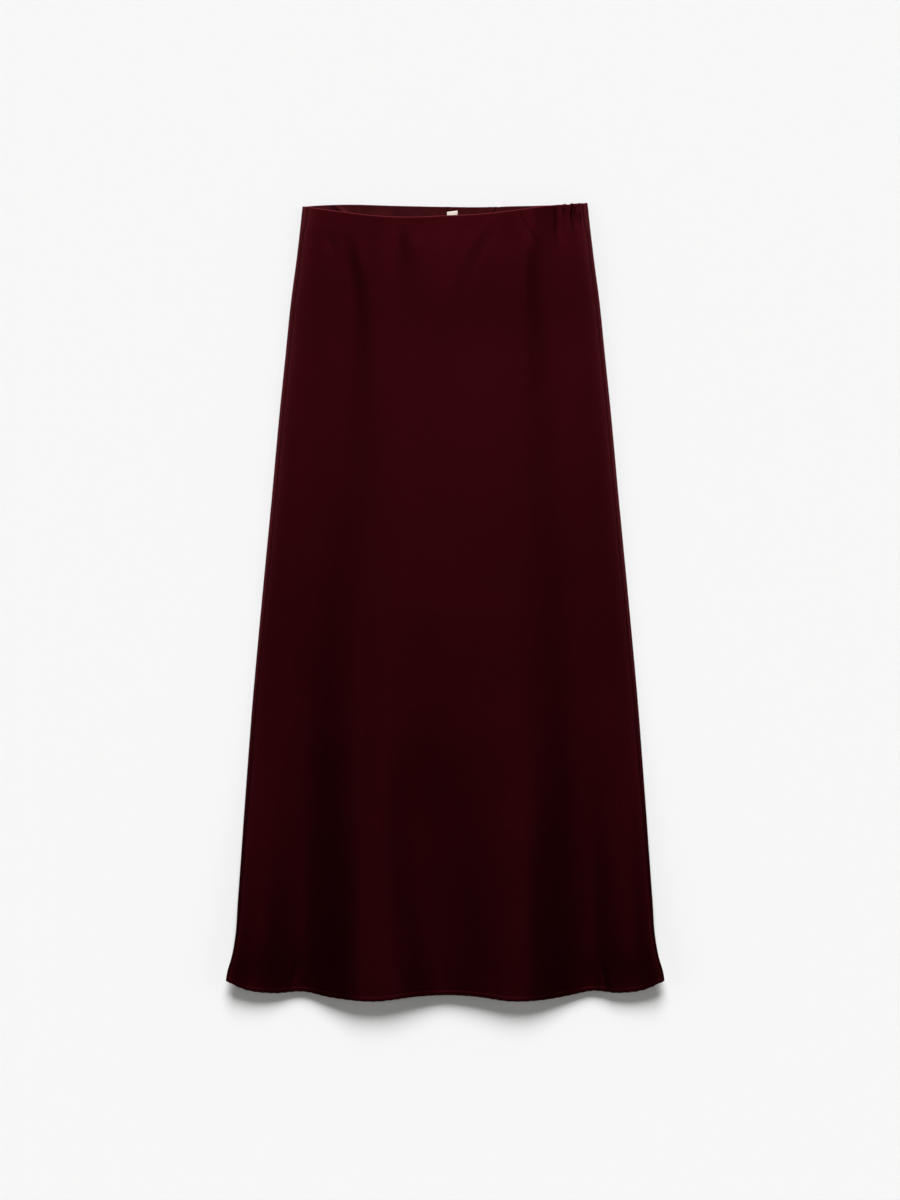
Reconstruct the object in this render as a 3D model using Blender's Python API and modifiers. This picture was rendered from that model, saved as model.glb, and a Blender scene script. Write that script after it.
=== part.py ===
"""A-line midi skirt, laid flat with its front up.

Metres. X runs across the skirt, Y up towards the waist and Z up off the surface that it lies on.
The origin is at the middle of the skirt's length and width, on that surface. "Down" is the distance
from the highest point of the waist towards the hem, and "share" is the place across a panel, from -1
at its left edge to 1 at its right edge.
"""

from collections import namedtuple

import bmesh
import bpy
import numpy as np

# Driving sizes
LENGTH = 0.9015
HEM_HALF_WIDTH = 0.2467
CLOTH = 0.0012
FACING_CLOTH = 0.001
LABEL_CLOTH = 0.001
GAP = 0.0003

# Where the pieces lie
CENTRE_SEAM = 0.0026
FACING_DEPTH = 0.030
FACING_SIDE_SHARE = 0.955
TURNED_EDGE = 0.0006
BACK_HEM_SHORTER = 0.0035
SIDE_SEAM_INSET = 0.0036
SEAM_INSET_ENDS = 0.036
LABEL_WIDTH = 0.0132
LABEL_LENGTH = 0.024
LABEL_DOWN = 0.0085
LABEL_LEFT = 0.0014

# Heights of each layer's underside above the surface
FACING_LEVEL = CLOTH + GAP
LABEL_LEVEL = FACING_LEVEL + FACING_CLOTH + GAP
FRONT_LEVEL = CLOTH + 1.2 * GAP
FRONT_LEVEL_OVER_FACING = FACING_LEVEL + FACING_CLOTH + 1.4 * GAP
OVER_FACING_ENDS = (0.036, 0.052)
SIDE_RISE = 0.0040

# The hem's two corners curl up off the surface, front and back together
CORNER_LIFT = 0.0185
CORNER_SHARES = (0.45, 1.12)
CORNER_DOWNS = (0.50, 1.05)

# The outline. Each table is read through a smooth curve.
Width = namedtuple("Width", "down half_width")
SIDE_EDGE = [
    Width(0.000, 0.1604),
    Width(0.032, 0.1640),
    Width(0.064, 0.1678),
    Width(0.108, 0.1737),
    Width(0.177, 0.1808),
    Width(0.222, 0.1855),
    Width(0.335, 0.1960),
    Width(0.448, 0.2069),
    Width(0.561, 0.2172),
    Width(0.674, 0.2256),
    Width(0.787, 0.2334),
    Width(0.830, 0.2366),
    Width(0.852, 0.2408),
    Width(0.866, 0.2450),
    Width(0.877, HEM_HALF_WIDTH),
]

Edge = namedtuple("Edge", "share down")
FRONT_WAIST = [
    Edge(-1.00, 0.0045),
    Edge(-0.76, 0.0096),
    Edge(-0.51, 0.0145),
    Edge(-0.26, 0.0164),
    Edge(-0.01, 0.0150),
    Edge(0.25, 0.0130),
    Edge(0.50, 0.0085),
    Edge(0.71, 0.0040),
    Edge(0.86, 0.0020),
    Edge(1.00, 0.0012),
]
BACK_WAIST = [
    Edge(-1.00, 0.0040),
    Edge(-0.89, 0.0026),
    Edge(-0.75, 0.0018),
    Edge(-0.32, 0.0032),
    Edge(0.00, 0.0042),
    Edge(0.25, 0.0045),
    Edge(0.45, 0.0036),
    Edge(0.71, 0.0026),
    Edge(0.86, 0.0017),
    Edge(0.92, 0.0004),
    Edge(1.00, 0.0000),
]
HEM = [
    Edge(-1.00, 0.8785),
    Edge(-0.93, 0.8868),
    Edge(-0.79, 0.8921),
    Edge(-0.65, 0.8903),
    Edge(-0.53, 0.8965),
    Edge(-0.33, LENGTH),
    Edge(-0.12, 0.8958),
    Edge(0.00, 0.8942),
    Edge(0.12, 0.8955),
    Edge(0.32, LENGTH),
    Edge(0.47, 0.8990),
    Edge(0.57, 0.8945),
    Edge(0.68, 0.8893),
    Edge(0.79, 0.8917),
    Edge(0.92, 0.8875),
    Edge(1.00, 0.8785),
]

# How far the front stands up off the back, with air between them: at once beside the seams, and
# more at its middle
Loft = namedtuple("Loft", "down sides middle")
FRONT_LOFT = [
    Loft(0.00, 0.0024, 0.0034),
    Loft(0.04, 0.0024, 0.0034),
    Loft(0.09, 0.0024, 0.0028),
    Loft(0.16, 0.0024, 0.0023),
    Loft(0.35, 0.0024, 0.0022),
    Loft(0.50, 0.0022, 0.0022),
    Loft(0.65, 0.0018, 0.0018),
    Loft(0.90, 0.0008, 0.0006),
]

# The long soft folds, each as one side of a flute. A row says how far down it is, how far across
# its middle is, how wide it is, and how much the cloth rises over it from left to right.
Flank = namedtuple("Flank", "down across width rise")
FRONT_FLANKS = {
    "left_outer": [
        Flank(0.030, -0.108, 0.016, 0.0000),
        Flank(0.060, -0.103, 0.018, 0.0006),
        Flank(0.090, -0.096, 0.022, 0.0009),
        Flank(0.150, -0.093, 0.032, 0.0009),
        Flank(0.220, -0.092, 0.044, 0.0009),
        Flank(0.290, -0.093, 0.052, 0.0010),
        Flank(0.350, -0.104, 0.056, 0.0011),
        Flank(0.450, -0.118, 0.060, 0.0017),
        Flank(0.560, -0.127, 0.064, 0.0029),
        Flank(0.660, -0.131, 0.068, 0.0054),
        Flank(0.760, -0.132, 0.074, 0.0092),
        Flank(0.900, -0.134, 0.078, 0.0150),
    ],
    "left_inner": [
        Flank(0.460, -0.056, 0.050, 0.0000),
        Flank(0.600, -0.053, 0.052, -0.0014),
        Flank(0.700, -0.054, 0.056, -0.0034),
        Flank(0.790, -0.048, 0.062, -0.0052),
        Flank(0.900, -0.029, 0.070, -0.0074),
    ],
    "right_inner": [
        Flank(0.460, 0.020, 0.110, 0.0000),
        Flank(0.600, 0.026, 0.110, 0.0012),
        Flank(0.700, 0.034, 0.110, 0.0030),
        Flank(0.790, 0.038, 0.100, 0.0044),
        Flank(0.900, 0.036, 0.092, 0.0062),
    ],
    "right_outer": [
        Flank(0.030, 0.100, 0.016, 0.0000),
        Flank(0.060, 0.098, 0.018, -0.0006),
        Flank(0.090, 0.098, 0.022, -0.0009),
        Flank(0.150, 0.102, 0.032, -0.0009),
        Flank(0.220, 0.107, 0.044, -0.0009),
        Flank(0.290, 0.111, 0.052, -0.0010),
        Flank(0.350, 0.112, 0.056, -0.0011),
        Flank(0.450, 0.113, 0.060, -0.0017),
        Flank(0.560, 0.118, 0.064, -0.0027),
        Flank(0.660, 0.126, 0.072, -0.0050),
        Flank(0.760, 0.130, 0.082, -0.0086),
        Flank(0.900, 0.131, 0.088, -0.0138),
    ],
}

# The small folds run down the skirt too. A row says how far down it is, how far across, how far it
# reaches to its left and right, and its rise, which is negative in a hollow.
Place = namedtuple("Place", "down across reach_left reach_right rise")
FRONT_FOLDS = {
    "left_ridge": [
        Place(0.420, -0.186, 0.022, 0.020, 0.0000),
        Place(0.620, -0.195, 0.024, 0.024, 0.0004),
        Place(0.800, -0.202, 0.026, 0.026, 0.0006),
        Place(0.900, -0.205, 0.028, 0.028, 0.0008),
    ],
    "right_ridge": [
        Place(0.420, 0.180, 0.020, 0.022, 0.0000),
        Place(0.620, 0.187, 0.024, 0.026, 0.0004),
        Place(0.800, 0.190, 0.024, 0.030, 0.0006),
        Place(0.900, 0.191, 0.026, 0.032, 0.0008),
    ],
    "left_waist_ridge": [
        Place(0.026, -0.030, 0.018, 0.026, 0.0000),
        Place(0.050, -0.030, 0.018, 0.026, 0.0005),
        Place(0.100, -0.028, 0.020, 0.026, 0.0005),
        Place(0.200, -0.020, 0.022, 0.026, 0.0000),
    ],
    "waist_hollow": [
        Place(0.020, 0.006, 0.028, 0.028, 0.0000),
        Place(0.060, 0.009, 0.030, 0.030, -0.0006),
        Place(0.130, 0.010, 0.032, 0.030, -0.0005),
        Place(0.240, 0.012, 0.030, 0.030, 0.0000),
    ],
    "waist_tuck": [
        Place(-0.010, 0.083, 0.020, 0.006, 0.0004),
        Place(0.030, 0.080, 0.022, 0.014, 0.0005),
        Place(0.098, 0.066, 0.026, 0.024, 0.0003),
        Place(0.240, 0.040, 0.026, 0.026, 0.0000),
    ],
}
BACK_FOLDS = {
    "middle_left_flute": [
        Place(0.720, -0.078, 0.024, 0.024, 0.0000),
        Place(0.900, -0.073, 0.028, 0.026, 0.0026),
    ],
    "middle_right_flute": [
        Place(0.640, 0.038, 0.034, 0.040, 0.0000),
        Place(0.900, 0.056, 0.040, 0.038, 0.0030),
    ],
}

# Grid sizes: faces across and faces down
FRONT_GRID = (38, 36)
BACK_GRID = (14, 32)
FACING_GRID = (12, 3)
LABEL_GRID = (2, 2)
CLOSER_AT_ENDS = 0.55

Finish = namedtuple("Finish", "colour roughness")
SATIN = Finish((0.030, 0.0022, 0.0036), 0.48)
LABEL_WEAVE = Finish((0.80, 0.74, 0.68), 0.85)

COLLECTION = "a_line_midi_skirt"


def column(rows, name):
    return np.array([getattr(row, name) for row in rows])


def smooth(at, knots, values):
    """The values at some places, on a smooth curve through the knots."""
    slopes = np.gradient(values, knots)
    at = np.clip(at, knots[0], knots[-1])
    i = np.clip(np.searchsorted(knots, at) - 1, 0, len(knots) - 2)
    step = knots[i + 1] - knots[i]
    t = (at - knots[i]) / step
    start = values[i] * (1 + 2 * t) * (1 - t) ** 2 + slopes[i] * step * t * (1 - t) ** 2
    end = values[i + 1] * (3 - 2 * t) * t**2 - slopes[i + 1] * step * (1 - t) * t**2
    return start + end


def edge(rows, share):
    return smooth(share, column(rows, "share"), column(rows, "down"))


def side(down):
    return smooth(down, column(SIDE_EDGE, "down"), column(SIDE_EDGE, "half_width"))


def ease(value, start, end):
    """0 before start, 1 after end, with a smooth step between them."""
    t = np.clip((value - start) / (end - start), 0, 1)
    return t * t * (3 - 2 * t)


def corner_lift(across, down):
    """How far the hem's corners curl up, which is nothing away from them."""
    outward = ease(np.abs(across) / side(down), *CORNER_SHARES)
    return CORNER_LIFT * outward * ease(down, *CORNER_DOWNS)


def fold_rise(folds, across, down):
    """The height that all the folds of a panel add."""
    total = np.zeros_like(across)
    for rows in folds.values():
        middle, left, right, rise = (smooth(down, column(rows, "down"), column(rows, name))
                                     for name in ("across", "reach_left", "reach_right", "rise"))
        offset = across - middle
        reach = np.where(offset < 0, left, right)
        total += rise * np.cos(np.clip(offset / reach, -1, 1) * np.pi / 2) ** 2
    return total


def flank_rise(flanks, across, down):
    """The height that all the flutes' sides of a panel add."""
    total = np.zeros_like(across)
    for rows in flanks.values():
        middle, width, rise = (smooth(down, column(rows, "down"), column(rows, name))
                               for name in ("across", "width", "rise"))
        total += rise * ease(across, middle - width / 2, middle + width / 2)
    return total


def front_height(share, across, down):
    """The front panel's underside."""
    ended = ease(down, *OVER_FACING_ENDS)
    level = FRONT_LEVEL_OVER_FACING * (1 - ended) + FRONT_LEVEL * ended
    sides, middle = (smooth(down, column(FRONT_LOFT, "down"), column(FRONT_LOFT, name))
                     for name in ("sides", "middle"))
    inward = np.clip((1 - np.abs(share)) * side(down) / SIDE_RISE, 0, 1)
    arch = sides * np.sin(inward * np.pi / 2) + middle * (1 + np.cos(np.pi * share)) / 2
    folds = flank_rise(FRONT_FLANKS, across, down) + fold_rise(FRONT_FOLDS, across, down)
    return level + corner_lift(across, down) + np.maximum(arch + folds, 0)


def front_shape(share, length_share):
    top, bottom = edge(FRONT_WAIST, share), edge(HEM, share)
    down = top + (bottom - top) * length_share
    inset = SIDE_SEAM_INSET * (1 - ease(down, 0, SEAM_INSET_ENDS))
    across = share * (side(down) - inset)
    return across, down, front_height(share, across, down)


def half_back(hand, outward, down):
    """The place across, from 0 outward at the centre seam to 1 at the side. The left hand is -1."""
    seam = CENTRE_SEAM + hand * GAP / 2
    return seam + (hand * side(down) - seam) * outward


def back_shape(hand):
    """Half of the back. It lies on the surface, apart from its flutes and its curled corner."""

    def shape(share, length_share):
        outward = (1 + hand * share) / 2
        top = edge(BACK_WAIST, hand * outward)
        bottom = edge(HEM, hand * outward) - BACK_HEM_SHORTER
        down = top + (bottom - top) * length_share
        across = half_back(hand, outward, down)
        return across, down, corner_lift(across, down) + fold_rise(BACK_FOLDS, across, down)

    return shape


def facing_shape(hand):
    """The strip inside half of the back's waist."""

    def shape(share, depth_share):
        outward = FACING_SIDE_SHARE * (1 + hand * share) / 2
        top = edge(BACK_WAIST, hand * outward) + TURNED_EDGE
        down = top + (FACING_DEPTH - top) * depth_share
        across = half_back(hand, outward, down)
        return across, down, np.full_like(across, FACING_LEVEL)

    return shape


def label_shape(share, length_share):
    across = LABEL_LEFT + LABEL_WIDTH * (share + 1) / 2
    down = LABEL_DOWN + LABEL_LENGTH * length_share
    return across, down, np.full_like(across, LABEL_LEVEL)


def closer_at_ends(t):
    return t - CLOSER_AT_ENDS * np.sin(2 * np.pi * t) / (2 * np.pi)


def material(name, finish):
    made = bpy.data.materials.new(name)
    made.use_nodes = True
    shader = made.node_tree.nodes["Principled BSDF"]
    shader.inputs["Base Color"].default_value = (*finish.colour, 1)
    shader.inputs["Roughness"].default_value = finish.roughness
    shader.inputs["Metallic"].default_value = 0
    return made


def cloth_panel(name, grid, shape, thickness, finish):
    """A grid moved to the piece's underside, with its thickness added upwards."""
    mesh = bpy.data.meshes.new(name)
    sheet = bmesh.new()
    bmesh.ops.create_grid(sheet, x_segments=grid[0], y_segments=grid[1], size=1)
    places = np.array([vertex.co for vertex in sheet.verts])
    length_share = closer_at_ends((1 - places[:, 1]) / 2)
    across, down, height = shape(places[:, 0], length_share)
    for vertex, x, d, z in zip(sheet.verts, across, down, height):
        vertex.co = (x, LENGTH / 2 - d, z)
    sheet.to_mesh(mesh)
    sheet.free()
    panel = bpy.data.objects.new(name, mesh)
    bpy.data.collections[COLLECTION].objects.link(panel)
    wall = panel.modifiers.new("wall", "SOLIDIFY")
    wall.thickness = thickness
    wall.offset = 1
    mesh.shade_smooth()
    mesh.materials.append(material(name, finish))
    return panel


def clear_scene():
    for old in list(bpy.data.objects):
        bpy.data.objects.remove(old)


def main():
    clear_scene()
    parts = bpy.data.collections.new(COLLECTION)
    bpy.context.scene.collection.children.link(parts)
    cloth_panel("front_panel", FRONT_GRID, front_shape, CLOTH, SATIN)
    for side_name, hand in (("left", -1), ("right", 1)):
        cloth_panel(f"back_panel_{side_name}", BACK_GRID, back_shape(hand), CLOTH, SATIN)
        cloth_panel(f"back_facing_{side_name}", FACING_GRID, facing_shape(hand), FACING_CLOTH, SATIN)
    cloth_panel("waist_label", LABEL_GRID, label_shape, LABEL_CLOTH, LABEL_WEAVE)


main()
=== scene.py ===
from collections import namedtuple

import bmesh
import bpy
import numpy as np
from mathutils import Euler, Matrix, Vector, noise


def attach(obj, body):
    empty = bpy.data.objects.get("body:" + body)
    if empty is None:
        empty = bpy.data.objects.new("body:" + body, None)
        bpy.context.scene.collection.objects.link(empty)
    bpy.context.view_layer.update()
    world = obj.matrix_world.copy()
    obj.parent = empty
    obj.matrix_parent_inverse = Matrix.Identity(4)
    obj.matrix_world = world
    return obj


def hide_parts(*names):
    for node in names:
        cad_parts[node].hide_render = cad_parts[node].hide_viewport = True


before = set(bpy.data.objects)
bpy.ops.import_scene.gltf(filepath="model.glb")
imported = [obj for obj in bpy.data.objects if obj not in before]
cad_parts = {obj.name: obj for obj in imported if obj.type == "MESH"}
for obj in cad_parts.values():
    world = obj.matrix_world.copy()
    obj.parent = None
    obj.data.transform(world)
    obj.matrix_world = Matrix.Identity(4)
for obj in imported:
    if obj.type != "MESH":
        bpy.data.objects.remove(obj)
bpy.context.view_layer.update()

# ---------------------------------------------------------------------------------------------
# The back panels
#
# The back of the skirt is two flared pieces of crepe-back satin, sewn together down the centre
# back. The waist edge is turned in, the hem is turned up, and each outer edge rolls round to meet
# the front in the side seam. The back lies on the surface, with its flutes and corners curled up.
# ---------------------------------------------------------------------------------------------

# Every size is in metres. A place on the skirt is given by how far down from the top of the waist
# it is, and by how far across from the middle, or by its share of the way from the middle to the
# side, which is -1 at the left side and 1 at the right. A pair says where a thing begins and ends.
LENGTH = 0.9015
SATIN = 0.00055
EDGE_RADIUS = 0.0005
WAIST_TURNED_IN = 0.010
HEM_TURNED_UP = 0.0065
HEM_STITCH_UP = 0.0052
CENTRE_SEAM = 0.0026
BACK_HEM_SHORTER = 0.0035
SEAM_INSET = 0.0020
SEAM_INSET_ENDS = (0.022, 0.036)
CORNER_LIFT = 0.0185
CORNER_LIFT_SHARES = (0.45, 1.12)
CORNER_LIFT_DOWNS = (0.50, 1.05)

Width = namedtuple("Width", "down half_width")
SIDE_EDGE = [
    Width(0.000, 0.1604),
    Width(0.032, 0.1640),
    Width(0.064, 0.1678),
    Width(0.108, 0.1737),
    Width(0.177, 0.1808),
    Width(0.222, 0.1855),
    Width(0.335, 0.1960),
    Width(0.448, 0.2069),
    Width(0.561, 0.2172),
    Width(0.674, 0.2256),
    Width(0.787, 0.2334),
    Width(0.830, 0.2366),
    Width(0.852, 0.2408),
    Width(0.866, 0.2450),
    Width(0.877, 0.2467),
]

Edge = namedtuple("Edge", "share down")
BACK_WAIST = [
    Edge(-1.00, 0.0040),
    Edge(-0.89, 0.0026),
    Edge(-0.75, 0.0018),
    Edge(-0.32, 0.0032),
    Edge(0.00, 0.0042),
    Edge(0.25, 0.0045),
    Edge(0.45, 0.0036),
    Edge(0.71, 0.0026),
    Edge(0.86, 0.0017),
    Edge(0.92, 0.0004),
    Edge(1.00, 0.0000),
]
HEM = [
    Edge(-1.00, 0.8785),
    Edge(-0.93, 0.8868),
    Edge(-0.79, 0.8921),
    Edge(-0.65, 0.8903),
    Edge(-0.53, 0.8965),
    Edge(-0.33, LENGTH),
    Edge(-0.12, 0.8958),
    Edge(0.00, 0.8942),
    Edge(0.12, 0.8955),
    Edge(0.32, LENGTH),
    Edge(0.47, 0.8990),
    Edge(0.57, 0.8945),
    Edge(0.68, 0.8893),
    Edge(0.79, 0.8917),
    Edge(0.92, 0.8875),
    Edge(1.00, 0.8785),
]

# Each small fold has a row for each place that it passes: how far down, how far across, how far
# it reaches to its left and right, and its rise, which is negative in a hollow.
Place = namedtuple("Place", "down across reach_left reach_right rise")
BACK_FOLDS = [
    # two soft flutes at the hem
    [
        Place(0.720, -0.078, 0.024, 0.024, 0.0000),
        Place(0.900, -0.073, 0.028, 0.026, 0.0026),
    ],
    [
        Place(0.640, 0.038, 0.034, 0.040, 0.0000),
        Place(0.900, 0.056, 0.040, 0.038, 0.0030),
    ],
    # two slight folds above them
    [
        Place(0.080, -0.120, 0.010, 0.020, 0.0000),
        Place(0.300, -0.100, 0.014, 0.030, 0.0011),
        Place(0.560, -0.128, 0.016, 0.030, 0.0000),
    ],
    [
        Place(0.120, 0.070, 0.026, 0.012, 0.0000),
        Place(0.420, 0.104, 0.032, 0.014, 0.0012),
        Place(0.640, 0.090, 0.030, 0.018, 0.0000),
    ],
]


def column(rows, name):
    """One value from each row of a table."""
    return np.array([getattr(row, name) for row in rows])


def smooth(at, knots, values):
    """The values at some places, on a smooth curve through the knots."""
    slopes = np.gradient(values, knots)
    at = np.clip(at, knots[0], knots[-1])
    i = np.clip(np.searchsorted(knots, at) - 1, 0, len(knots) - 2)
    step = knots[i + 1] - knots[i]
    t = (at - knots[i]) / step
    start = values[i] * (1 + 2 * t) * (1 - t) ** 2 + slopes[i] * step * t * (1 - t) ** 2
    end = values[i + 1] * (3 - 2 * t) * t**2 - slopes[i + 1] * step * (1 - t) * t**2
    return start + end


def ease(value, start, end):
    """0 before start, 1 after end, with a smooth step between them."""
    t = np.clip((value - start) / (end - start), 0, 1)
    return t * t * (3 - 2 * t)


def edge_down(rows, share):
    """How far down an edge of the cloth is, at a share of the way across."""
    return smooth(share, column(rows, "share"), column(rows, "down"))


def side(down):
    """How far the skirt's side is from its middle."""
    return smooth(down, column(SIDE_EDGE, "down"), column(SIDE_EDGE, "half_width"))


def corner_lift(across, down):
    """How far the hem's corners curl up, front and back together."""
    outward = ease(np.abs(across) / side(down), *CORNER_LIFT_SHARES)
    return CORNER_LIFT * outward * ease(down, *CORNER_LIFT_DOWNS)


def fold_rise(folds, across, down):
    """How far the small folds lift the cloth."""
    total = np.zeros_like(across)
    for rows in folds:
        middle, left, right, rise = (smooth(down, column(rows, "down"), column(rows, name))
                                     for name in ("across", "reach_left", "reach_right", "rise"))
        offset = across - middle
        reach = np.where(offset < 0, left, right)
        total += rise * np.cos(np.clip(offset / reach, -1, 1) * np.pi / 2) ** 2
    return total


Waves = namedtuple("Waves", "height size_across size_down variant")


def waves_rise(waves, across, down):
    """How far the slight soft waves that no laid cloth is free of lift or lower it."""
    places = zip(across / waves.size_across, down / waves.size_down)
    return waves.height * np.array([noise.noise(Vector((*place, waves.variant))) for place in places])


# A turned edge has these rows in its hidden flat part and in its fold.
TURNED_ROWS = 4
FOLD_ROWS = 8


def turned_edge(turned, radius):
    """The path of a turned edge from its hidden end: past the fold, and behind the outside."""
    flat = np.linspace(turned, radius, TURNED_ROWS + 1)[:-1]
    angle = np.linspace(np.pi, 0, FOLD_ROWS)
    past = np.concatenate([flat, radius - radius * np.sin(angle)])
    behind = np.concatenate([np.full(len(flat), 2 * radius), radius - radius * np.cos(angle)])
    return past, behind


class Strip:
    """The rows of a length of cloth that is turned in at its waist edge and turned up at its hem.

    The rows between the edges come in parts. Each part ends at a share of the length, and has a
    number of rows.
    """

    def __init__(self, waist_turned, hem_turned, radius, parts):
        starts = [0] + [end for end, rows in parts[:-1]]
        main = np.concatenate([np.linspace(start, end, rows + 1)[1:]
                               for start, (end, rows) in zip(starts, parts)])[:-1]
        waist_past, waist_behind = turned_edge(waist_turned, radius)
        hem_past, hem_behind = turned_edge(hem_turned, radius)
        self.share = np.concatenate([0 * waist_past, main, 0 * hem_past + 1])
        self.past = np.concatenate([waist_past, radius * (1 - 2 * main), -hem_past[::-1]])
        self.behind = np.concatenate([waist_behind, 0 * main, hem_behind[::-1]])
        self.count = len(self.share)

    def down(self, row, top, bottom):
        """How far down each row is, where the cloth's edges are at the top and the bottom."""
        return top + (bottom - top) * self.share[row] + self.past[row]


def cloth_piece(name, columns, rows, shape, thickness, material):
    """A grid of cloth moved to its shape, with UVs in metres and its thickness added.

    The shape gives each place across, down and up, and how much painted highlight its folded edge
    takes, from 0 to 1.
    """
    sheet = bmesh.new()
    bmesh.ops.create_grid(sheet, x_segments=columns - 1, y_segments=rows - 1, size=1)
    flat = np.array([vertex.co for vertex in sheet.verts])
    column_index = np.rint((flat[:, 0] + 1) / 2 * (columns - 1)).astype(int)
    row_index = np.rint((1 - flat[:, 1]) / 2 * (rows - 1)).astype(int)
    across, down, height, edge = shape(column_index, row_index)
    for vertex, x, d, z in zip(sheet.verts, across, down, height):
        vertex.co = (x, LENGTH / 2 - d, z)
    along = np.zeros((columns, rows))
    along[column_index, row_index] = down
    along = np.cumsum(np.abs(np.diff(along, axis=1, prepend=along[:, :1])), axis=1)
    cloth_uv = sheet.loops.layers.uv.new("cloth")
    places = list(zip(across, along[column_index, row_index]))
    for face in sheet.faces:
        for corner in face.loops:
            corner[cloth_uv].uv = places[corner.vert.index]
    mesh = bpy.data.meshes.new(name)
    sheet.to_mesh(mesh)
    sheet.free()
    # The edge attribute says how much a painted highlight lightens the colour of each folded edge.
    painted_edge_highlight = mesh.attributes.new("edge", "FLOAT", "POINT")
    painted_edge_highlight.data.foreach_set("value", edge.astype(np.float32))
    mesh.shade_smooth()
    mesh.materials.append(material)
    piece = bpy.data.objects.new(name, mesh)
    bpy.context.scene.collection.objects.link(piece)
    wall = piece.modifiers.new("cloth thickness", "SOLIDIFY")
    wall.thickness = thickness
    wall.offset = 0
    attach(piece, "root")
    return piece


# The cloth's look: fine crepe yarns with a slight twill line, and slow streaks and patches of tone.
# A grain says how fine a thing is, as a part of the yarns' own fineness, across and along the cloth.
TWILL_SCALE = 0.3
TWILL_UNEVEN = 1.5
TWILL_HEIGHT = 0.35
CREPE_GRAIN = (0.8, 0.55, 1)
STREAK_GRAIN = (0.11, 0.012, 1)
STREAK_TONE = 0.55
PATCH_GRAIN = (0.008, 0.005, 1)
PATCH_TONE = 0.45
TONE_RANGE = (0.3, 0.7)
BUMP_STRENGTH = 0.35


def weave_group():
    """A node group that gives the weave's height and its lighter and darker yarns."""
    group = bpy.data.node_groups.new("yarns", "ShaderNodeTree")
    sockets = group.interface
    sockets.new_socket("Place", in_out="INPUT", socket_type="NodeSocketVector")
    sockets.new_socket("Yarns per metre", in_out="INPUT", socket_type="NodeSocketFloat")
    sockets.new_socket("Height", in_out="OUTPUT", socket_type="NodeSocketFloat")
    sockets.new_socket("Tone", in_out="OUTPUT", socket_type="NodeSocketFloat")
    nodes, links = group.nodes, group.links
    given = nodes.new("NodeGroupInput")
    result = nodes.new("NodeGroupOutput")

    def scaled(stretch):
        stretched = nodes.new("ShaderNodeVectorMath")
        stretched.operation = "MULTIPLY"
        stretched.inputs[1].default_value = stretch
        links.new(given.outputs["Place"], stretched.inputs[0])
        sized = nodes.new("ShaderNodeVectorMath")
        sized.operation = "SCALE"
        links.new(stretched.outputs[0], sized.inputs[0])
        links.new(given.outputs["Yarns per metre"], sized.inputs["Scale"])
        return sized.outputs[0]

    def cloud(place, detail):
        made = nodes.new("ShaderNodeTexNoise")
        made.inputs["Scale"].default_value = 1
        made.inputs["Detail"].default_value = detail
        links.new(place, made.inputs["Vector"])
        return made.outputs[0]

    def mixed(kind, first, second):
        made = nodes.new("ShaderNodeMath")
        made.operation = kind
        for socket, value in zip(made.inputs, (first, second)):
            if isinstance(value, (int, float)):
                socket.default_value = value
            else:
                links.new(value, socket)
        return made.outputs[0]

    twill = nodes.new("ShaderNodeTexWave")
    twill.wave_type = "BANDS"
    twill.bands_direction = "DIAGONAL"
    twill.inputs["Scale"].default_value = TWILL_SCALE
    twill.inputs["Distortion"].default_value = TWILL_UNEVEN
    links.new(scaled((1, 1, 1)), twill.inputs["Vector"])
    twill_height = mixed("MULTIPLY", twill.outputs["Fac"], TWILL_HEIGHT)
    crepe_height = cloud(scaled(CREPE_GRAIN), 2.0)
    links.new(mixed("ADD", twill_height, crepe_height), result.inputs["Height"])
    streaks = mixed("MULTIPLY", cloud(scaled(STREAK_GRAIN), 3.0), STREAK_TONE)
    patches = mixed("MULTIPLY", cloud(scaled(PATCH_GRAIN), 2.0), PATCH_TONE)
    links.new(mixed("ADD", streaks, patches), result.inputs["Tone"])
    return group


YARNS = weave_group()


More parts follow.
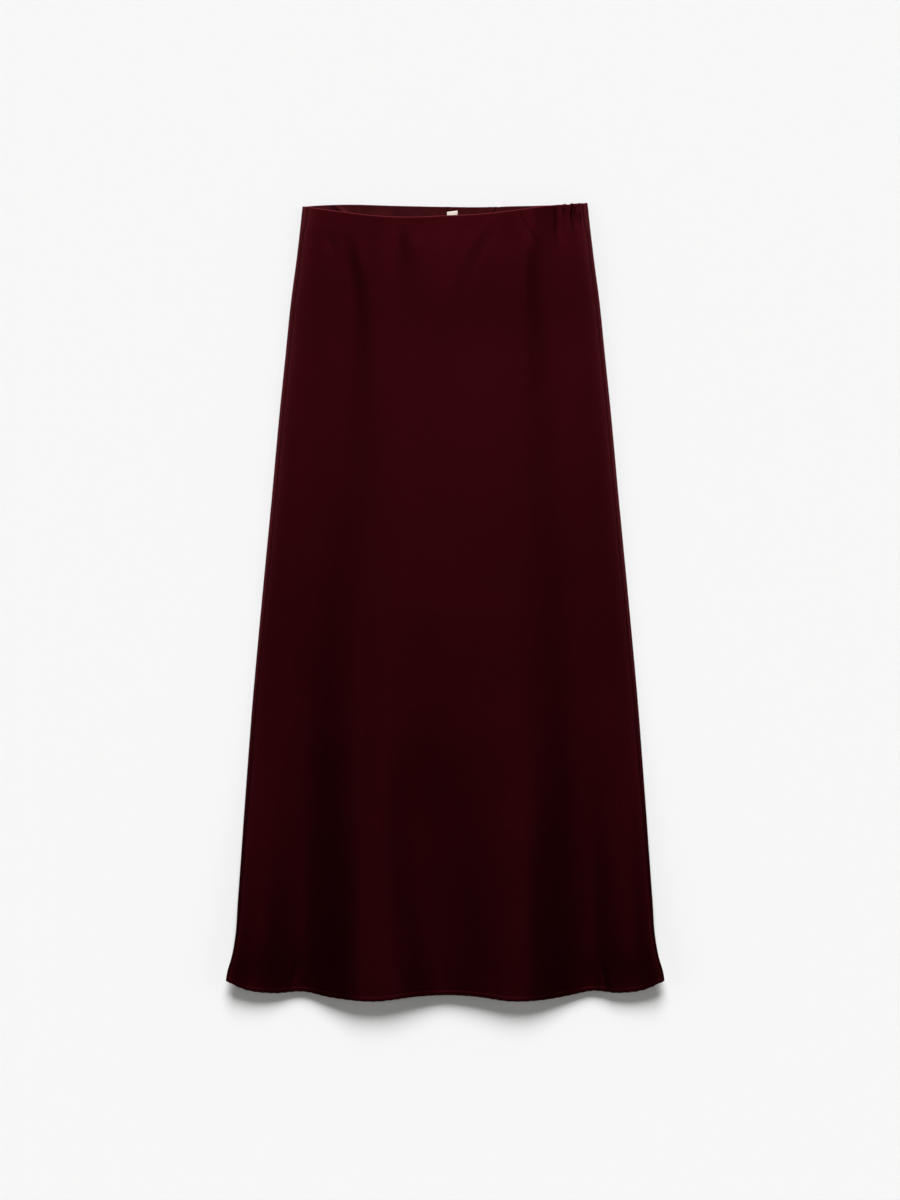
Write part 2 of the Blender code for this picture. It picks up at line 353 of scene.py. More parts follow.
def woven_material(name, dark, light, painted_edge_highlight, rough, yarns_per_metre, bump_height):
    """A weave whose tone and gloss vary a little over the cloth, with a painted highlight on its
    folded edges.
    """
    made = bpy.data.materials.new(name)
    made.use_nodes = True
    nodes, links = made.node_tree.nodes, made.node_tree.links
    shader = nodes["Principled BSDF"]
    place = nodes.new("ShaderNodeUVMap")
    place.uv_map = "cloth"
    weave = nodes.new("ShaderNodeGroup")
    weave.node_tree = YARNS
    weave.inputs["Yarns per metre"].default_value = yarns_per_metre
    links.new(place.outputs["UV"], weave.inputs["Place"])
    colour = nodes.new("ShaderNodeValToRGB")
    for stop, position, shade in zip(colour.color_ramp.elements, TONE_RANGE, (dark, light)):
        stop.position = position
        stop.color = (*shade, 1)
    links.new(weave.outputs["Tone"], colour.inputs["Fac"])
    # A paler colour is mixed into the folded edges here: a painted highlight.
    edge = nodes.new("ShaderNodeAttribute")
    edge.attribute_name = "edge"
    highlighted_colour = nodes.new("ShaderNodeMix")
    highlighted_colour.data_type = "RGBA"
    links.new(edge.outputs["Fac"], highlighted_colour.inputs[0])
    links.new(colour.outputs["Color"], highlighted_colour.inputs[6])
    highlighted_colour.inputs[7].default_value = (*painted_edge_highlight, 1)
    links.new(highlighted_colour.outputs[2], shader.inputs["Base Color"])
    gloss = nodes.new("ShaderNodeMapRange")
    gloss.inputs["From Min"].default_value, gloss.inputs["From Max"].default_value = TONE_RANGE
    gloss.inputs["To Min"].default_value, gloss.inputs["To Max"].default_value = rough
    links.new(weave.outputs["Tone"], gloss.inputs["Value"])
    links.new(gloss.outputs["Result"], shader.inputs["Roughness"])
    bump = nodes.new("ShaderNodeBump")
    bump.inputs["Strength"].default_value = BUMP_STRENGTH
    bump.inputs["Distance"].default_value = bump_height
    links.new(weave.outputs["Height"], bump.inputs["Height"])
    links.new(bump.outputs["Normal"], shader.inputs["Normal"])
    return made


# The satin's long floats shine in the cloth's own colour at every angle, as a dark tinted metal does,
# so most of its gloss is metallic. It shines less on a folded edge, where its paler painted highlight
# colour shows instead.
SATIN_SHINE = 0.87
SATIN_SHINE_ON_EDGE = 0.28
wine_satin = woven_material(
    "wine satin", dark=(0.0212, 0.00138, 0.00250), light=(0.0238, 0.00155, 0.00284),
    painted_edge_highlight=(0.075, 0.0105, 0.0145), rough=(0.325, 0.355), yarns_per_metre=2600,
    bump_height=0.00006)
satin_nodes, satin_links = wine_satin.node_tree.nodes, wine_satin.node_tree.links
satin_shader = satin_nodes["Principled BSDF"]
satin_shader.inputs["Specular IOR Level"].default_value = 0.0
satin_shader.inputs["Specular Tint"].default_value = (0.50, 0.40, 0.41, 1)
shine = satin_nodes.new("ShaderNodeMapRange")
shine.inputs["To Min"].default_value = SATIN_SHINE
shine.inputs["To Max"].default_value = SATIN_SHINE_ON_EDGE
satin_links.new(satin_nodes["Attribute"].outputs["Fac"], shine.inputs["Value"])
satin_links.new(shine.outputs["Result"], satin_shader.inputs["Metallic"])

# The side rolls round through BACK_TURN, and right over at the waist, where a flat flap follows.
BACK_RADIUS = 0.0011
BACK_TURN = np.radians(76)
BACK_TURN_AT_WAIST = np.radians(180)
BACK_ROLL_SHARE = 0.7
BACK_FLAP = 0.0015
# The back's rolled side edge takes a painted highlight, which grows over the first part of the roll.
BACK_EDGE_HIGHLIGHT = 0.7
BACK_EDGE_HIGHLIGHT_SHARE = 0.3
BACK_SEAM_RISE = 0.0004
BACK_SEAM_WIDTH = 0.0016
TUCK_NOTCH_ACROSS = 0.0590
TUCK_NOTCH_REACH = 0.0011
TUCK_NOTCH_DEPTH = 0.0008
BACK_SEAM_SHARE = 0.015
BACK_SEAM_COLUMNS = 3
BACK_FLAT_COLUMNS = 150
BACK_WRAP_COLUMNS = 12
BACK_COLUMNS = BACK_FLAT_COLUMNS + BACK_WRAP_COLUMNS
back_strip = Strip(WAIST_TURNED_IN, HEM_TURNED_UP, EDGE_RADIUS, [(0.06, 13), (0.93, 95), (1, 21)])


def back_shape(hand):
    """Half of the back, from the centre seam out to the side, where it rolls up to the front.

    The hand is -1 for the left half and 1 for the right.
    """
    outward_steps = np.concatenate([
        np.linspace(0, BACK_SEAM_SHARE, BACK_SEAM_COLUMNS + 1)[:-1],
        np.linspace(BACK_SEAM_SHARE, 1, BACK_FLAT_COLUMNS - BACK_SEAM_COLUMNS),
        np.ones(BACK_WRAP_COLUMNS),
    ])
    wrap_steps = np.concatenate([
        np.zeros(BACK_FLAT_COLUMNS),
        np.linspace(0, 1, BACK_WRAP_COLUMNS + 1)[1:],
    ])

    def shape(column_index, row_index):
        place = column_index if hand > 0 else BACK_COLUMNS - 1 - column_index
        outward, wrap = outward_steps[place], wrap_steps[place]
        from_notch = (hand * side(0) * outward - TUCK_NOTCH_ACROSS) / TUCK_NOTCH_REACH
        notch = TUCK_NOTCH_DEPTH * np.exp(-from_notch**2)
        top = edge_down(BACK_WAIST, hand * outward) + notch
        bottom = edge_down(HEM, hand * outward) - BACK_HEM_SHORTER
        down = back_strip.down(row_index, top, bottom)
        end = hand * (side(down) - BACK_RADIUS)
        across = CENTRE_SEAM + (end - CENTRE_SEAM) * outward
        at_waist = 1 - ease(down, *SEAM_INSET_ENDS)
        whole_turn = BACK_TURN + (BACK_TURN_AT_WAIST - BACK_TURN) * at_waist
        turn = whole_turn * np.clip(wrap / BACK_ROLL_SHARE, 0, 1)
        flap_share = np.clip((wrap - BACK_ROLL_SHARE) / (1 - BACK_ROLL_SHARE), 0, 1)
        flap = BACK_FLAP * at_waist * flap_share
        lies = corner_lift(across, down) + fold_rise(BACK_FOLDS, across, down) + SATIN / 2
        seam = BACK_SEAM_RISE * (1 - ease(np.abs(across - CENTRE_SEAM), 0, BACK_SEAM_WIDTH))
        height = lies + seam + BACK_RADIUS * (1 - np.cos(turn)) + back_strip.behind[row_index]
        across = across + hand * (BACK_RADIUS * np.sin(turn) - flap)
        # The last value is the painted highlight on the side roll.
        return across, down, height, BACK_EDGE_HIGHLIGHT * ease(wrap, 0, BACK_EDGE_HIGHLIGHT_SHARE)

    return shape


for side_name, hand, flat_area in (("left", -1, 0.190), ("right", 1, 0.185)):
    piece = cloth_piece(f"back_cloth_{side_name}", BACK_COLUMNS, back_strip.count,
                        back_shape(hand), SATIN, wine_satin)
    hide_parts(f"back_panel_{side_name}")

# ---------------------------------------------------------------------------------------------
# The back waist facing
#
# Two strips of the same cloth line the back's waist edge, with the matt crepe side showing. They
# are joined at the centre back, sewn into the waist edge and turned down inside.
# ---------------------------------------------------------------------------------------------

FACING_CLOTH = 0.0005
FACING_DEPTH = 0.030
FACING_LEVEL = 0.00205
FACING_SIDE_SHARE = 0.955
FACING_BELOW_EDGE = 0.0003
FACING_SEAM_DIP = 0.0006
FACING_SEAM_WIDTH = 0.0010
FACING_WAVES = Waves(height=0.00024, size_across=0.007, size_down=0.010, variant=4.0)
FACING_SEAM_SHARE = 0.02
FACING_SEAM_COLUMNS = 4
FACING_COLUMNS = 260
FACING_ROWS = 30
FACING_ROWS_CLOSER = 1.3
FACING_FOLDS = [
    # the tuck
    [
        Place(0.002, 0.0584, 0.0026, 0.0010, 0.0009),
        Place(0.012, 0.0520, 0.0034, 0.0012, 0.0008),
        Place(0.020, 0.0470, 0.0040, 0.0024, 0.0000),
    ],
    # soft ridges
    [
        Place(0.000, -0.128, 0.006, 0.010, 0.0006),
        Place(0.012, -0.114, 0.006, 0.009, 0.0011),
        Place(0.030, -0.100, 0.012, 0.014, 0.0000),
    ],
    [
        Place(0.000, -0.086, 0.012, 0.010, 0.0005),
        Place(0.030, -0.082, 0.012, 0.010, 0.0002),
    ],
    [
        Place(0.000, -0.050, 0.018, 0.012, 0.0005),
        Place(0.030, -0.046, 0.016, 0.014, 0.0002),
    ],
    [
        Place(0.000, 0.030, 0.014, 0.010, 0.0005),
        Place(0.030, 0.026, 0.014, 0.012, 0.0002),
    ],
    [
        Place(0.000, 0.086, 0.016, 0.010, 0.0006),
        Place(0.030, 0.090, 0.014, 0.014, 0.0001),
    ],
]

crepe_side = woven_material(
    "crepe side", dark=(0.0070, 0.0009, 0.0012), light=(0.0260, 0.0032, 0.0044),
    painted_edge_highlight=(0.030, 0.0036, 0.0052), rough=(0.44, 0.50), yarns_per_metre=2100,
    bump_height=0.00012)
crepe_shader = crepe_side.node_tree.nodes["Principled BSDF"]
crepe_shader.inputs["Specular IOR Level"].default_value = 0.30
crepe_shader.inputs["Specular Tint"].default_value = (1.0, 0.10, 0.14, 1)


def facing_shape(hand):
    """Half of the facing, from the centre seam out, with its rows closer together at the top."""
    outward_steps = np.concatenate([
        np.linspace(0, FACING_SEAM_SHARE, FACING_SEAM_COLUMNS + 1)[:-1],
        np.linspace(FACING_SEAM_SHARE, FACING_SIDE_SHARE, FACING_COLUMNS - FACING_SEAM_COLUMNS),
    ])
    depth_steps = np.linspace(0, 1, FACING_ROWS) ** FACING_ROWS_CLOSER

    def shape(column_index, row_index):
        place = column_index if hand > 0 else FACING_COLUMNS - 1 - column_index
        outward, depth = outward_steps[place], depth_steps[row_index]
        top = edge_down(BACK_WAIST, hand * outward) + FACING_BELOW_EDGE
        down = top + (FACING_DEPTH - top) * depth
        across = CENTRE_SEAM + (hand * side(down) - CENTRE_SEAM) * outward
        seam = FACING_SEAM_DIP * (1 - ease(np.abs(across - CENTRE_SEAM), 0, FACING_SEAM_WIDTH))
        waves = waves_rise(FACING_WAVES, across, down)
        height = FACING_LEVEL + fold_rise(FACING_FOLDS, across, down) - seam + waves
        return across, down, height, 0 * across

    return shape


for side_name, hand in (("left", -1), ("right", 1)):
    piece = cloth_piece(f"facing_cloth_{side_name}", FACING_COLUMNS, FACING_ROWS,
                        facing_shape(hand), FACING_CLOTH, crepe_side)
    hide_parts(f"back_facing_{side_name}")

# ---------------------------------------------------------------------------------------------
# The label
#
# A short loop of cream woven ribbon, folded at its lower end and sewn to the facing by its top
# edge, just right of the centre back. It is bare.
# ---------------------------------------------------------------------------------------------

RIBBON = 0.0003
LABEL_MIDDLE = 0.0080
LABEL_WIDTH = 0.0120
LABEL_TOP = 0.0097
LABEL_LOOP = 0.0215
LABEL_TOP_LEVEL = 0.00355
LABEL_LEANS = np.radians(7)
LABEL_FOLD_RADIUS = 0.00033
LABEL_FOLD_SHARE = 0.06
LABEL_CROWN = 0.00035
LABEL_CROWN_BY = 0.004
LABEL_COLUMNS = 27
LABEL_ROWS = 44

label_ribbon = woven_material(
    "label ribbon", dark=(0.60, 0.51, 0.45), light=(0.72, 0.64, 0.57), painted_edge_highlight=(0.74, 0.67, 0.60),
    rough=(0.72, 0.80), yarns_per_metre=1500, bump_height=0.00010)


def label_shape(column_index, row_index):
    """From the top edge down the upper layer, round the fold and up the lower layer."""
    from_middle = (column_index / (LABEL_COLUMNS - 1) - 0.5) * LABEL_WIDTH
    path = row_index / (LABEL_ROWS - 1) * 2 - 1
    bend = np.clip(path / LABEL_FOLD_SHARE, -1, 1) * np.pi / 2
    away = np.maximum(np.abs(path) - LABEL_FOLD_SHARE, 0) / (1 - LABEL_FOLD_SHARE)
    below_top = LABEL_LOOP * (1 - away) - LABEL_FOLD_RADIUS * (1 - np.cos(bend))
    across = LABEL_MIDDLE + from_middle
    down = LABEL_TOP + below_top - from_middle * np.tan(LABEL_LEANS)
    height = LABEL_TOP_LEVEL - LABEL_FOLD_RADIUS * (1 + np.sin(bend))
    arched = 1 - (2 * from_middle / LABEL_WIDTH) ** 2
    crown = LABEL_CROWN * ease(below_top, 0, LABEL_CROWN_BY) * arched
    upper_layer = 1 - ease(path, -LABEL_FOLD_SHARE, LABEL_FOLD_SHARE)
    return across, down, height + crown * upper_layer, 0 * across


label = cloth_piece("label_ribbon", LABEL_COLUMNS, LABEL_ROWS, label_shape, RIBBON, label_ribbon)
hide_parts("waist_label")

# ---------------------------------------------------------------------------------------------
# The front panel
#
# The front is one flared piece of the satin, its glossy side out. The waist edge is turned in and
# drawn up by elastic at the right, the sides are sewn to the back, and the hem is turned up. It
# stands up off the back in long soft flutes.
# ---------------------------------------------------------------------------------------------

FRONT_LEVEL = 0.00156
FRONT_LEVEL_OVER_FACING = 0.00292
CAD_WALL = 0.0012
OVER_FACING_ENDS = (0.020, 0.170)
SIDE_RISE = 0.0040
SIDE_RADIUS = 0.0008
SIDE_TURN = np.radians(50)
HEM_DRAWN_BACK = 0.13
FRONT_WAIST = [
    Edge(-1.00, 0.0045),
    Edge(-0.76, 0.0096),
    Edge(-0.51, 0.0145),
    Edge(-0.26, 0.0164),
    Edge(-0.01, 0.0150),
    Edge(0.25, 0.0130),
    Edge(0.50, 0.0085),
    Edge(0.71, 0.0040),
    Edge(0.86, 0.0020),
    Edge(1.00, 0.0012),
]

# How far the front stands up off the back: at once beside the seams, and more at its middle.
Loft = namedtuple("Loft", "down sides middle")
FRONT_LOFT = [
    Loft(0.00, 0.0024, 0.0034),
    Loft(0.04, 0.0024, 0.0034),
    Loft(0.09, 0.0024, 0.0028),
    Loft(0.16, 0.0024, 0.0023),
    Loft(0.35, 0.0024, 0.0022),
    Loft(0.50, 0.0022, 0.0022),
    Loft(0.65, 0.0018, 0.0018),
    Loft(0.90, 0.0008, 0.0006),
]

# The long soft folds, each as one side of a flute. A row says how far down it is, how far across
# its middle is, how wide it is, and how much the cloth rises over it from left to right.
Flank = namedtuple("Flank", "down across width rise")
FRONT_FLANKS = [
    # beside the side seams, near the hem
    [
        Flank(0.600, -0.206, 0.022, 0.0000),
        Flank(0.700, -0.214, 0.024, -0.0006),
        Flank(0.800, -0.222, 0.026, -0.0009),
        Flank(0.900, -0.232, 0.028, -0.0008),
    ],
    [
        Flank(0.600, 0.206, 0.022, 0.0000),
        Flank(0.700, 0.214, 0.024, 0.0006),
        Flank(0.800, 0.222, 0.026, 0.0009),
        Flank(0.900, 0.232, 0.028, 0.0008),
    ],
    # the left flute's outer side, from the waist to the hem
    [
        Flank(0.030, -0.108, 0.016, 0.0000),
        Flank(0.060, -0.103, 0.018, 0.0006),
        Flank(0.090, -0.096, 0.022, 0.0009),
        Flank(0.150, -0.093, 0.032, 0.0009),
        Flank(0.220, -0.092, 0.044, 0.0009),
        Flank(0.290, -0.093, 0.052, 0.0010),
        Flank(0.350, -0.104, 0.056, 0.0011),
        Flank(0.450, -0.118, 0.060, 0.0017),
        Flank(0.560, -0.127, 0.064, 0.0029),
        Flank(0.660, -0.131, 0.068, 0.0054),
        Flank(0.760, -0.132, 0.074, 0.0092),
        Flank(0.900, -0.134, 0.078, 0.0150),
    ],
    # a slope below the waist, up to the right
    [
        Flank(0.010, 0.060, 0.020, 0.0005),
        Flank(0.052, 0.036, 0.030, 0.0019),
        Flank(0.086, 0.018, 0.036, 0.0018),
        Flank(0.130, 0.004, 0.044, 0.0013),
        Flank(0.220, -0.004, 0.070, 0.0010),
        Flank(0.440, -0.010, 0.090, 0.0000),
    ],
    # the left flute's inner side
    [
        Flank(0.460, -0.056, 0.050, 0.0000),
        Flank(0.600, -0.053, 0.052, -0.0014),
        Flank(0.700, -0.054, 0.056, -0.0034),
        Flank(0.790, -0.048, 0.062, -0.0052),
        Flank(0.900, -0.029, 0.070, -0.0074),
    ],
    # the right flute's inner side
    [
        Flank(0.460, 0.020, 0.110, 0.0000),
        Flank(0.600, 0.026, 0.110, 0.0012),
        Flank(0.700, 0.034, 0.110, 0.0030),
        Flank(0.790, 0.038, 0.100, 0.0044),
        Flank(0.900, 0.036, 0.092, 0.0062),
    ],
    # the right flute's outer side, from the waist to the hem
    [
        Flank(0.030, 0.100, 0.016, 0.0000),
        Flank(0.060, 0.098, 0.018, -0.0006),
        Flank(0.090, 0.098, 0.022, -0.0009),
        Flank(0.150, 0.102, 0.032, -0.0009),
        Flank(0.220, 0.107, 0.044, -0.0009),
        Flank(0.290, 0.111, 0.052, -0.0010),
        Flank(0.350, 0.112, 0.056, -0.0011),
        Flank(0.450, 0.113, 0.060, -0.0017),
        Flank(0.560, 0.118, 0.064, -0.0027),
        Flank(0.660, 0.126, 0.072, -0.0050),
        Flank(0.760, 0.130, 0.082, -0.0086),
        Flank(0.900, 0.131, 0.088, -0.0138),
    ],
]
FRONT_FOLDS = [
    # the two outer ridges at the hem
    [
        Place(0.420, -0.186, 0.022, 0.020, 0.0000),
        Place(0.620, -0.195, 0.024, 0.024, 0.0004),
        Place(0.800, -0.202, 0.026, 0.026, 0.0006),
        Place(0.900, -0.205, 0.028, 0.028, 0.0008),
    ],
    [
        Place(0.420, 0.180, 0.020, 0.022, 0.0000),
        Place(0.620, 0.187, 0.024, 0.026, 0.0004),
        Place(0.800, 0.190, 0.024, 0.030, 0.0006),
        Place(0.900, 0.191, 0.026, 0.032, 0.0008),
    ],
    # below the waist: a ridge, and the bulge beside the tuck
    [
        Place(0.022, -0.037, 0.018, 0.024, 0.0000),
        Place(0.046, -0.037, 0.018, 0.024, 0.0006),
        Place(0.070, -0.036, 0.022, 0.026, 0.0003),
        Place(0.120, -0.030, 0.026, 0.026, 0.0000),
    ],
    [
        Place(-0.005, 0.099, 0.016, 0.036, 0.0009),
        Place(0.030, 0.102, 0.018, 0.036, 0.0006),
        Place(0.062, 0.106, 0.018, 0.030, 0.0000),
    ],
    # the tuck's crease, which is sharp on its right
    [
        Place(0.004, 0.0815, 0.0060, 0.0026, 0.00028),
        Place(0.0245, 0.0895, 0.0070, 0.0032, 0.00032),
        Place(0.038, 0.0985, 0.0090, 0.0048, 0.00019),
        Place(0.056, 0.1060, 0.0090, 0.0070, 0.0000),
    ],
    # the elastic's gathers at the right of the waist
    [
        Place(-0.002, 0.1262, 0.0060, 0.0036, -0.0001),
        Place(0.012, 0.1272, 0.0060, 0.0030, -0.0003),
        Place(0.030, 0.1266, 0.0060, 0.0044, -0.0002),
        Place(0.052, 0.1290, 0.0070, 0.0070, 0.0000),
    ],
    [
        Place(-0.002, 0.1346, 0.0030, 0.0022, -0.0004),
        Place(0.004, 0.1362, 0.0034, 0.0020, -0.0001),
        Place(0.009, 0.1352, 0.0030, 0.0022, -0.0004),
        Place(0.016, 0.1364, 0.0030, 0.0030, 0.0000),
    ],
    [
        Place(-0.002, 0.1432, 0.0024, 0.0034, -0.0006),
        Place(0.005, 0.1452, 0.0036, 0.0026, -0.0004),
        Place(0.012, 0.1436, 0.0030, 0.0034, -0.0006),
        Place(0.020, 0.1450, 0.0040, 0.0030, -0.0003),
        Place(0.034, 0.1462, 0.0044, 0.0040, 0.0000),
    ],
    [
        Place(-0.002, 0.1502, 0.0028, 0.0024, 0.0005),
        Place(0.006, 0.1494, 0.0024, 0.0024, 0.0001),
        Place(0.014, 0.1506, 0.0028, 0.0026, 0.0004),
        Place(0.026, 0.1512, 0.0030, 0.0028, 0.0001),
        Place(0.036, 0.1520, 0.0030, 0.0030, 0.0000),
    ],
    # the hem's puckers beside the outer ridges
    [
        Place(0.846, -0.163, 0.006, 0.004, 0.0000),
        Place(0.866, -0.168, 0.006, 0.0032, -0.0006),
        Place(0.879, -0.1715, 0.005, 0.0026, -0.0010),
        Place(0.900, -0.175, 0.005, 0.003, -0.0005),
    ],
    [
        Place(0.846, 0.174, 0.004, 0.006, 0.0000),
        Place(0.866, 0.177, 0.0032, 0.006, -0.0006),
        Place(0.879, 0.1795, 0.0026, 0.005, -0.0010),
        Place(0.900, 0.182, 0.003, 0.005, -0.0005),
    ],
]
FRONT_WAVES = [
    Waves(height=0.00030, size_across=0.045, size_down=0.22, variant=1.0),
    Waves(height=0.00006, size_across=0.016, size_down=0.07, variant=2.0),
]
WAVES_SIDE_SHARE = 0.15
WAVES_HEM_ENDS = (0.85, 0.885)

# The elastic draws the waist's edge up in bumps, one of which stands at GATHER_CREST.
ELASTIC_SHARES = (0.80, 0.90)
GATHER_BUMPS = 0.0009
GATHER_PITCH = 0.0083
GATHER_CREST = 0.1505
WAIST_HALF_WIDTH = 0.157

# Slight marks in the surface: the facing's edge, a dimple at the left, and the hem's turned edge,
# its stitches and the soft scallops between them.
FACING_PRINT = 0.00007
FACING_PRINT_ENDS = (0.0215, 0.0275)
DIMPLE_ACROSS = -0.128
DIMPLE_DOWN = 0.047
DIMPLE_RADIUS = 0.0055
DIMPLE_DEPTH = 0.00022
HEM_STEP = 0.00014
HEM_STEP_ENDS = (0.0050, 0.0068)
HEM_STITCH_DIP = 0.00022
HEM_STITCH_DIP_REACH = 0.0006
HEM_SCALLOP = 0.00028
HEM_SCALLOP_PITCH = 0.0091
HEM_SCALLOP_DRIFT = 2
HEM_SCALLOP_DRIFTS = 9

# Where a painted highlight lightens the folded edges: along the sides, less so towards the hem, and
# at the waist.
SIDE_HIGHLIGHT_FADES = 0.0042
SIDE_HIGHLIGHT_AT_HEM = 0.15
SIDE_HIGHLIGHT_DOWNS = (0.25, 0.75)
WAIST_HIGHLIGHT_WIDTH = 0.0010
WAIST_HIGHLIGHT = 0.55

FRONT_FLAT_COLUMNS = 168
FRONT_COLUMNS_CLOSER = 0.45
SIDE_ROLL_COLUMNS = 6
FRONT_COLUMNS = FRONT_FLAT_COLUMNS + 2 * SIDE_ROLL_COLUMNS
front_strip = Strip(WAIST_TURNED_IN, HEM_TURNED_UP, EDGE_RADIUS,
                    [(0.066, 43), (0.94, 127), (0.985, 15), (1, 23)])

# The columns are closer together towards the sides, and the last ones roll down to the seam.
even_steps = np.linspace(0, 1, FRONT_FLAT_COLUMNS)
closer_steps = even_steps - FRONT_COLUMNS_CLOSER * np.sin(2 * np.pi * even_steps) / (2 * np.pi)
flat_steps = 2 * closer_steps - 1
roll_turns = np.linspace(0, SIDE_TURN, SIDE_ROLL_COLUMNS + 1)[1:]
side_steps = np.concatenate([-np.ones(SIDE_ROLL_COLUMNS), flat_steps, np.ones(SIDE_ROLL_COLUMNS)])
side_turns = np.concatenate([roll_turns[::-1], 0 * flat_steps, roll_turns])


def flank_rise(flanks, across, down):
    """How far the flutes lift the cloth."""
    total = np.zeros_like(across)
    for rows in flanks:
        middle, width, rise = (smooth(down, column(rows, "down"), column(rows, name))
                               for name in ("across", "width", "rise"))
        total += rise * ease(across, middle - width / 2, middle + width / 2)
    return total


def front_outside(share, across, down):
    """The height of the middle of the front's outer layer."""
    ended = ease(down, *OVER_FACING_ENDS)
    level = FRONT_LEVEL_OVER_FACING * (1 - ended) + FRONT_LEVEL * ended
    sides, middle = (smooth(down, column(FRONT_LOFT, "down"), column(FRONT_LOFT, name))
                     for name in ("sides", "middle"))
    inward = np.clip((1 - np.abs(share)) * side(down) / SIDE_RISE, 0, 1)
    arch = sides * np.sin(inward * np.pi / 2) + middle * (1 + np.cos(np.pi * share)) / 2
    folds = flank_rise(FRONT_FLANKS, across, down) + fold_rise(FRONT_FOLDS, across, down)
    stands = level + CAD_WALL - SATIN / 2 + corner_lift(across, down)
    return stands + np.maximum(arch + folds, 0)


def front_shape(column_index, row_index):
    """The front from side to side, with its sides rolled down and its waist drawn up."""
    share = side_steps[column_index]
    turn = side_turns[column_index]
    from_crest = share * WAIST_HALF_WIDTH - GATHER_CREST
    bumps = GATHER_BUMPS * np.cos(2 * np.pi * from_crest / GATHER_PITCH)
    top = edge_down(FRONT_WAIST, share) - ease(share, *ELASTIC_SHARES) * bumps
    hem = edge_down(HEM, share)
    bottom = hem - HEM_DRAWN_BACK * front_outside(share, share * side(hem), hem)
    drift = HEM_SCALLOP_DRIFT * np.sin(HEM_SCALLOP_DRIFTS * share)
    bottom += HEM_SCALLOP * np.cos(2 * np.pi * share * side(hem) / HEM_SCALLOP_PITCH + drift)
    down = front_strip.down(row_index, top, bottom)
    half_width = side(down) - SEAM_INSET * (1 - ease(down, *SEAM_INSET_ENDS)) - SIDE_RADIUS
    across = share * half_width
    height = front_outside(share, across, down) - SIDE_RADIUS * (1 - np.cos(turn))
    inside = np.clip((1 - np.abs(share)) / WAVES_SIDE_SHARE, 0, 1) * (1 - ease(down, *WAVES_HEM_ENDS))
    for waves in FRONT_WAVES:
        height += inside * waves_rise(waves, across, down)
    below_waist = down - top
    height += FACING_PRINT * (1 - ease(below_waist, *FACING_PRINT_ENDS))
    from_dimple = np.hypot(across - DIMPLE_ACROSS, down - DIMPLE_DOWN) / DIMPLE_RADIUS
    height -= DIMPLE_DEPTH * np.exp(-from_dimple**2)
    over_hem = bottom - down
    height += HEM_STEP * (1 - ease(over_hem, *HEM_STEP_ENDS))
    from_stitches = (over_hem - HEM_STITCH_UP) / HEM_STITCH_DIP_REACH
    height -= HEM_STITCH_DIP * np.exp(-from_stitches**2)
    across = across + np.sign(share) * SIDE_RADIUS * np.sin(turn)
    # Painted highlight on the folded side and waist edges, which the edge attribute mixes into the
    # colour.
    from_side = (1 - np.abs(share)) * half_width
    side_highlight_strength = 1 - (1 - SIDE_HIGHLIGHT_AT_HEM) * ease(down, *SIDE_HIGHLIGHT_DOWNS)
    side_highlight = side_highlight_strength * np.exp(-from_side / SIDE_HIGHLIGHT_FADES)
    waist_highlight = WAIST_HIGHLIGHT * (1 - ease(below_waist, 0, WAIST_HIGHLIGHT_WIDTH))
    edge = np.maximum(side_highlight, waist_highlight)
    return across, down, height - front_strip.behind[row_index], edge


front = cloth_piece("front_cloth", FRONT_COLUMNS, front_strip.count, front_shape, SATIN, wine_satin)
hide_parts("front_panel")

# ---------------------------------------------------------------------------------------------
# The hem's stitching
#
# One row of short machine stitches in wine thread holds the turned-up hem, a little above its
# fold, on the front and on each half of the back.
# ---------------------------------------------------------------------------------------------

THREAD_RADIUS = 0.00019
STITCH_LENGTH = 0.0023
STITCH_PITCH = 0.0031
HEM_HALF_WIDTH = 0.246
HEM_CORNER_DOWN = 0.88
FRONT_STITCHES_TO = 0.2385
FRONT_THREAD_SUNK = 0.6 * THREAD_RADIUS
BACK_STITCHES_FROM = 0.012
BACK_STITCHES_TO = 0.236
BACK_THREAD_SUNK = 0.2 * THREAD_RADIUS

wine_thread = woven_material(
    "wine thread", dark=(0.008, 0.0006, 0.0012), light=(0.012, 0.0009, 0.0018),
    painted_edge_highlight=(0.012, 0.0009, 0.0018), rough=(0.55, 0.60), yarns_per_metre=2600,
    bump_height=0.00005)
thread_shader = wine_thread.node_tree.nodes["Principled BSDF"]
thread_shader.inputs["Specular IOR Level"].default_value = 0.22
thread_shader.inputs["Specular Tint"].default_value = (1.0, 0.10, 0.14, 1)


def stitch_row(name, places):
    """Short lengths of thread from each place to the next, with a gap between them."""
    threads = bmesh.new()
    for start, end in zip(places[:-1], places[1:]):
        start, end = Vector(start), Vector(end)
        made = bmesh.ops.create_cone(threads, cap_ends=True, segments=6, radius1=THREAD_RADIUS,
                                     radius2=THREAD_RADIUS, depth=STITCH_LENGTH)
        turn = (end - start).to_track_quat("Z", "Y").to_matrix()
        bmesh.ops.rotate(threads, verts=made["verts"], cent=(0, 0, 0), matrix=turn)
        bmesh.ops.translate(threads, verts=made["verts"], vec=(start + end) / 2)
    cloth_uv = threads.loops.layers.uv.new("cloth")
    for face in threads.faces:
        for corner in face.loops:
            corner[cloth_uv].uv = corner.vert.co.xy
    mesh = bpy.data.meshes.new(name)
    threads.to_mesh(mesh)
    threads.free()
    mesh.shade_smooth()
    mesh.materials.append(wine_thread)
    piece = bpy.data.objects.new(name, mesh)
    bpy.context.scene.collection.objects.link(piece)
    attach(piece, "root")
    return piece


